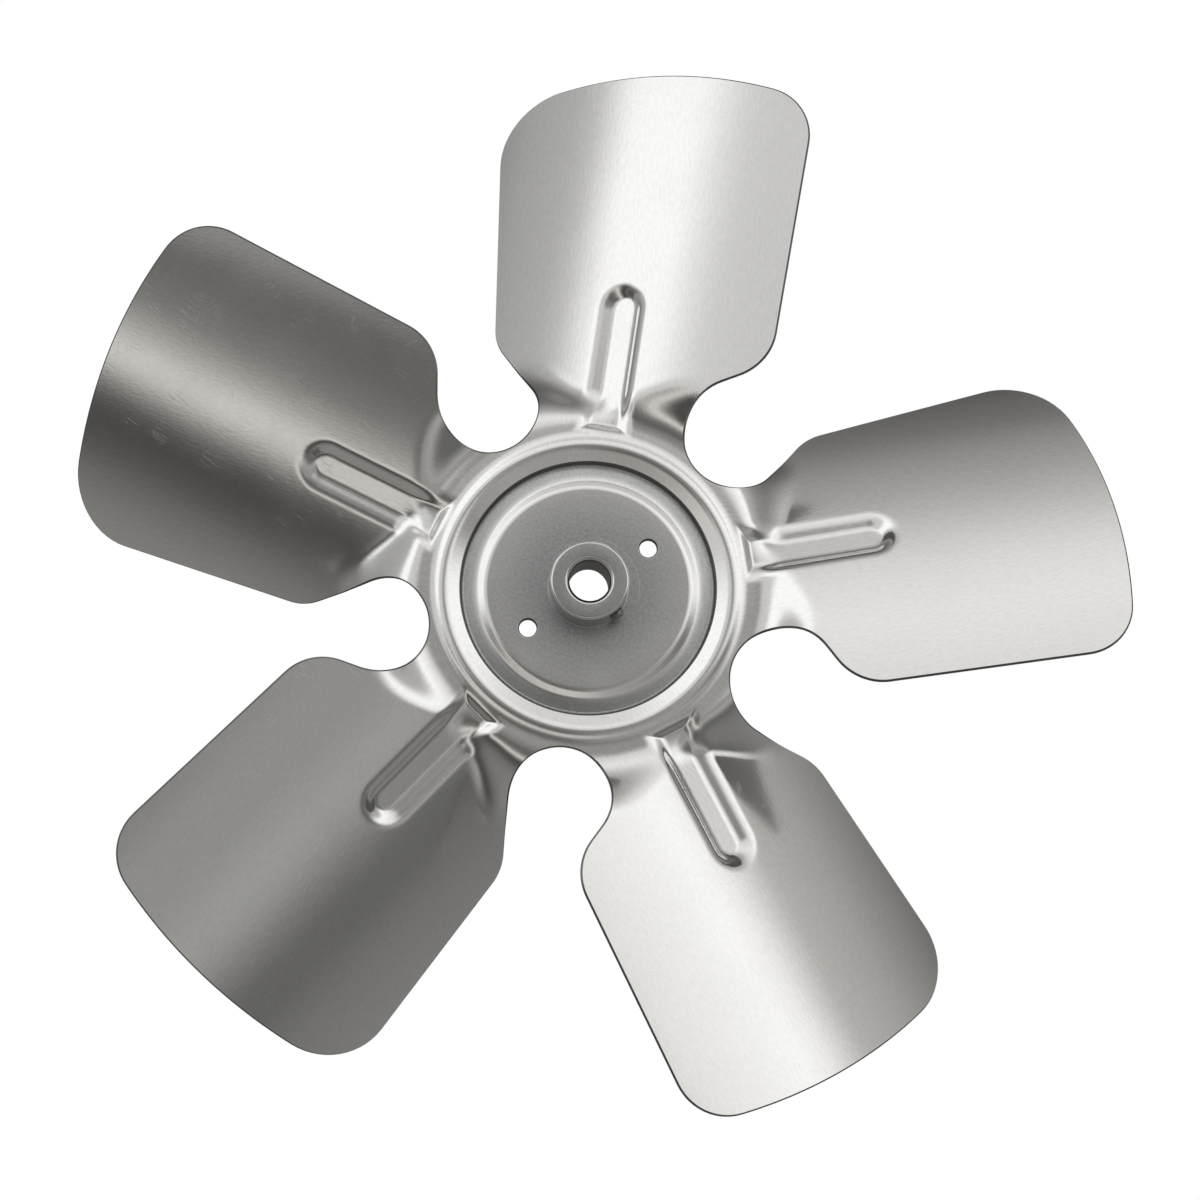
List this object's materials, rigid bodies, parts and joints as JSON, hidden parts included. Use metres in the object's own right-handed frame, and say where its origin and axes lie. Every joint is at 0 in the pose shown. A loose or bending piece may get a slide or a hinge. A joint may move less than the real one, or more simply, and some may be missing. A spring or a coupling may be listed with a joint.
{
  "type": "axial fan impeller",
  "caption": "Axial fan impeller: broad cambered blades pressed from one aluminium sheet round a dished steel hub plate, with a bored bush and a set screw for the motor shaft.",
  "frame": {"origin": "On the bore's axis, in the plane of the hub plate's front face.", "axes": "+Z runs along the bore out of the bush's front face, towards the viewer of the picture. +Y points along the axis of the blade that is uppermost in the picture, and +X to the right, towards that blade's raised edge."},
  "size_m": [0.2501, 0.2497, 0.0453],
  "materials": {
    "blade_aluminium": "mill-finished rolled sheet with a fine grain, light scratches and rubbed edges",
    "hub_steel": "dull grey blasted steel with small pits and turning marks round the bore",
    "screw_steel": "blackened steel"
  },
  "bodies": {
    "root": {"blade_spider": "blade_aluminium", "hub_plate": "hub_steel", "hub_bush": "hub_steel", "set_screw": "screw_steel"}
  },
  "joints": []
}
